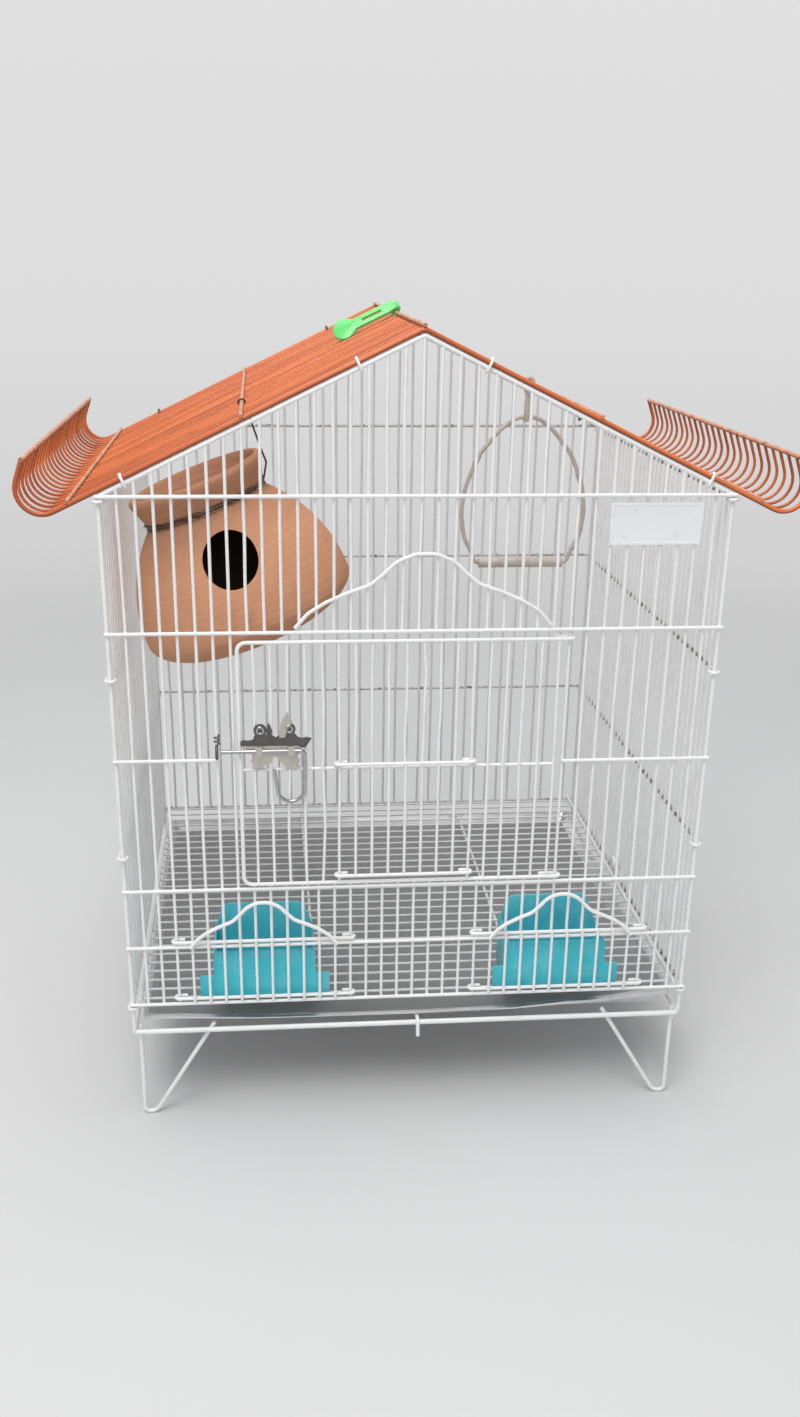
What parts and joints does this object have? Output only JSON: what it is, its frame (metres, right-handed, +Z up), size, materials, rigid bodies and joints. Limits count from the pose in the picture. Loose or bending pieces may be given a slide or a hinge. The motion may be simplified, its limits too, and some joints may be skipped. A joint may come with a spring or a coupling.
{
  "type": "bird cage",
  "caption": "House-shaped wire bird cage on bent wire feet with a hinged door, lifting feeder doors, slide-out tray, swing and clay nesting pot.",
  "frame": {"origin": "centre of the bounding box at floor level, under the feet", "axes": "+X to the cage's right seen from the front, +Y to the back, +Z up; the doors face -Y"},
  "size_m": [0.5284, 0.4066, 0.5837],
  "materials": {
    "white_wire": "white powder coat, satin",
    "orange_wire": "orange powder coat, satin",
    "cyan_plastic": "moulded, semi-gloss",
    "tray_sheet": "thin galvanised sheet, dull",
    "latch_steel": "drawn wire, bright",
    "latch_sheet": "sheet, dull",
    "tie_wire": "galvanised wire, dull",
    "perch_plastic": "moulded, matt",
    "terracotta": "unglazed fired clay",
    "green_plastic": "moulded, semi-gloss",
    "white_plastic": "moulded, satin",
    "sign_enamel": "bare plate, satin"
  },
  "bodies": {
    "cage": {"front_panel": "white_wire", "back_panel": "white_wire", "left_side_panel": "white_wire", "right_side_panel": "white_wire", "roof_panel": "orange_wire", "base_ring": "white_wire", "foot_front_left": "white_wire", "foot_front_right": "white_wire", "foot_back_left": "white_wire", "foot_back_right": "white_wire", "floor_grid": "white_wire", "feeder_cup_left": "cyan_plastic", "feeder_cup_right": "cyan_plastic", "latch_keeper": "tie_wire", "door_arch": "white_wire", "sign_plate": "sign_enamel", "clay_pot": "terracotta", "pot_tie": "tie_wire", "ridge_clip": "green_plastic", "side_knob": "white_plastic", "roof_clip_front_1": "tie_wire", "roof_clip_front_2": "tie_wire", "roof_clip_front_3": "tie_wire", "roof_clip_front_4": "tie_wire", "roof_clip_back_1": "tie_wire", "roof_clip_back_2": "tie_wire", "roof_clip_back_3": "tie_wire", "roof_clip_back_4": "tie_wire"},
    "main_door": {"main_door": "white_wire", "latch_plate": "latch_sheet", "latch_strap_left": "latch_sheet", "latch_strap_right": "latch_sheet"},
    "small_door": {"small_door": "white_wire"},
    "latch_bolt": {"latch_bolt": "latch_steel"},
    "feeder_door_left": {"feeder_door_left": "white_wire"},
    "feeder_door_right": {"feeder_door_right": "white_wire"},
    "tray": {"tray": "tray_sheet"},
    "swing": {"swing_hook": "tie_wire", "swing_bow": "tie_wire", "swing_perch": "perch_plastic"}
  },
  "joints": [
    {"name": "main_door_hinge", "type": "hinge", "parent": "cage", "child": "main_door", "pos_m": [0.105, -0.19062, 0.197], "axis": [0, 0, -1], "range_deg": [-110, 0]},
    {"name": "small_door_slide", "type": "slide", "parent": "main_door", "child": "small_door", "axis": [0, 0, 1], "range_m": [0, 0.078]},
    {"name": "latch_bolt_slide", "type": "slide", "parent": "main_door", "child": "latch_bolt", "axis": [1, 0, 0], "range_m": [-0.0044, 0.014]},
    {"name": "feeder_door_left_slide", "type": "slide", "parent": "cage", "child": "feeder_door_left", "axis": [0, 0, 1], "range_m": [0, 0.038]},
    {"name": "feeder_door_right_slide", "type": "slide", "parent": "cage", "child": "feeder_door_right", "axis": [0, 0, 1], "range_m": [0, 0.038]},
    {"name": "tray_slide", "type": "slide", "parent": "cage", "child": "tray", "axis": [0, -1, 0], "range_m": [0, 0.35]},
    {"name": "swing_hinge", "type": "hinge", "parent": "cage", "child": "swing", "pos_m": [0.11692, 0.06678, 0.52402], "axis": [0, 1, 0], "range_deg": [-17, 35]}
  ]
}
